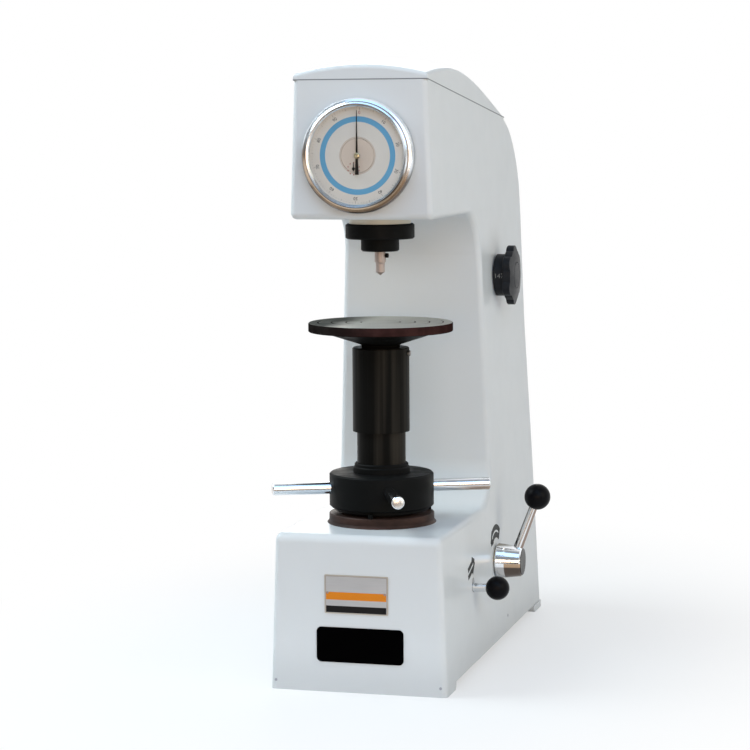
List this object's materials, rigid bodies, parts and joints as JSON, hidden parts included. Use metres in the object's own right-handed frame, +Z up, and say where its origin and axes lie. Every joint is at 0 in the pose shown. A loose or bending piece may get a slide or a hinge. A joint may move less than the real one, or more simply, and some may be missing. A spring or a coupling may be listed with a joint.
{
  "type": "hardness tester",
  "caption": "Bench lever-and-deadweight hardness tester: C-shaped casting, dial gauge head, indenter over a round table on a handwheel screw jack, load levers and selector knob.",
  "frame": {"origin": "on the test axis (indenter, table and lead screw) at the height of the feet", "axes": "+X operator's right, +Y from the operator to the column, +Z up along the test axis"},
  "size_m": [0.2556, 0.4903, 0.64],
  "materials": {
    "paint_white": "glossy white stoved enamel",
    "cream_paint": "glossy cream enamel",
    "black_oxide": "satin black oxide over steel",
    "brown_oxide": "satin brown-black oxide over steel",
    "ground_steel": "ground and blued steel",
    "tool_steel": "fine-turned tool steel",
    "chrome": "polished chrome plate",
    "black_plastic": "moulded black phenolic, gloss",
    "dial_enamel": "printed light grey enamel",
    "dial_centre_enamel": "printed beige enamel",
    "pointer_black": "blackened spring steel",
    "glass": "clear flat glass",
    "brass": "turned brass",
    "cast_grey": "painted grey cast iron",
    "plate_metal": "brushed aluminium plate",
    "badge_black": "black anodised plate, blank"
  },
  "bodies": {
    "frame": {"frame_casting": "paint_white", "top_cover": "paint_white", "rear_cover": "paint_white", "rear_cover_screws": "chrome", "data_plate": "plate_metal", "blank_badge": "badge_black", "spindle_housing": "cream_paint", "guard_flange": "black_oxide", "seat_ring": "brown_oxide", "seat_ring_screws": "black_oxide", "screw_guide": "cast_grey", "thrust_bearing": "ground_steel", "dial_case": "plate_metal", "dial_centre": "dial_centre_enamel", "gauge_movement": "brass", "fulcrum_blocks": "ground_steel", "dashpot_cylinder": "cast_grey", "dashpot_cover": "brass", "lifter_guide": "cast_grey", "selector_bush": "brass", "unload_bush": "brass", "latch_pin": "tool_steel"},
    "jack_wheel": {"handwheel": "black_oxide", "handwheel_rods": "chrome", "inner_sleeve": "black_oxide", "sleeve_collar": "black_oxide"},
    "jack_screw": {"lead_screw": "ground_steel", "anvil_table": "brown_oxide", "outer_sleeve": "black_oxide", "sleeve_screw": "black_oxide"},
    "bezel": {"bezel_ring": "chrome", "dial_face": "dial_enamel", "dial_glass": "glass"},
    "pointer": {"long_pointer": "pointer_black"},
    "counter_pointer": {"small_pointer": "pointer_black"},
    "test_spindle": {"spindle": "tool_steel", "indenter": "tool_steel", "indenter_screw": "black_oxide"},
    "lever_beam": {"main_lever": "ground_steel", "lever_knives": "tool_steel", "tail_pin": "tool_steel"},
    "weights": {"weight_hanger": "ground_steel", "weight_1": "cast_grey", "weight_2": "cast_grey", "weight_3": "cast_grey"},
    "damper": {"dashpot_piston": "tool_steel"},
    "selector": {"selector_knob": "black_plastic", "selector_shaft": "ground_steel", "selector_cams": "ground_steel"},
    "yoke": {"weight_yoke": "ground_steel"},
    "unload_lever": {"unload_shaft": "ground_steel", "unload_eccentric": "ground_steel", "latch_disc": "ground_steel", "unload_hub": "chrome", "unload_rod": "chrome", "unload_ball": "black_plastic"},
    "lifter": {"lifting_rod": "ground_steel"},
    "load_lever": {"load_rod": "chrome", "load_ball": "black_plastic", "latch_plate": "ground_steel"}
  },
  "joints": [
    {"name": "jack_screw_slide", "type": "slide", "parent": "frame", "child": "jack_screw", "axis": [0, 0, 1], "range_m": [-0.026, 0.046]},
    {"name": "jack_wheel_turn", "type": "hinge", "parent": "frame", "child": "jack_wheel", "pos_m": [0, 0, 0.1976], "axis": [0, 0, 1], "range_deg": [-3313.5, 1873.5]},
    {"name": "bezel_turn", "type": "hinge", "parent": "frame", "child": "bezel", "pos_m": [0, -0.085, 0.5423], "axis": [0, 1, 0], "continuous": true},
    {"name": "weights_lift", "type": "slide", "parent": "frame", "child": "weights", "axis": [0, 0, 1], "range_m": [0, 0.008]},
    {"name": "lever_rock", "type": "hinge", "parent": "frame", "child": "lever_beam", "pos_m": [0, -0.025, 0.544], "axis": [1, 0, 0], "range_deg": [0, 1.84]},
    {"name": "spindle_slide", "type": "slide", "parent": "frame", "child": "test_spindle", "axis": [0, 0, 1], "range_m": [0, 0.00082]},
    {"name": "pointer_turn", "type": "hinge", "parent": "frame", "child": "pointer", "pos_m": [0, -0.085, 0.5423], "axis": [0, 1, 0], "range_deg": [0, 1441]},
    {"name": "counter_turn", "type": "hinge", "parent": "frame", "child": "counter_pointer", "pos_m": [-0.004, -0.085, 0.5293], "axis": [0, 1, 0], "range_deg": [0, 144.2]},
    {"name": "damper_stroke", "type": "slide", "parent": "frame", "child": "damper", "axis": [0, 0, 1], "range_m": [0, 0.0101]},
    {"name": "yoke_lift", "type": "slide", "parent": "frame", "child": "yoke", "axis": [0, 0, 1], "range_m": [0, 0.00866]},
    {"name": "selector_turn", "type": "hinge", "parent": "frame", "child": "selector", "pos_m": [0.09, 0.208, 0.406], "axis": [1, 0, 0], "range_deg": [0, 120.1]},
    {"name": "lifter_drop", "type": "slide", "parent": "frame", "child": "lifter", "axis": [0, 0, 1], "range_m": [-0.00918, 0]},
    {"name": "unload_lever_turn", "type": "hinge", "parent": "frame", "child": "unload_lever", "pos_m": [0.1, 0.152, 0.0955], "axis": [1, 0, 0], "range_deg": [0, 70.1]},
    {"name": "load_lever_turn", "type": "hinge", "parent": "frame", "child": "load_lever", "pos_m": [0.07, 0.07, 0.084], "axis": [1, 0, 0], "range_deg": [-8, 0]}
  ],
  "couplings": [
    {"joint": "jack_wheel_turn", "follows": "jack_screw_slide", "rad_per_m": -1256.6},
    {"joint": "lever_rock", "follows": "weights_lift", "rad_per_m": 4},
    {"joint": "spindle_slide", "follows": "weights_lift", "ratio": 0.1},
    {"joint": "pointer_turn", "follows": "weights_lift", "rad_per_m": 3141.6},
    {"joint": "counter_turn", "follows": "weights_lift", "rad_per_m": 314.16},
    {"joint": "damper_stroke", "follows": "weights_lift", "ratio": 1.24},
    {"joint": "selector_turn", "follows": "yoke_lift", "rad_per_m": 241.85},
    {"joint": "unload_lever_turn", "follows": "lifter_drop", "rad_per_m": -133.13}
  ]
}
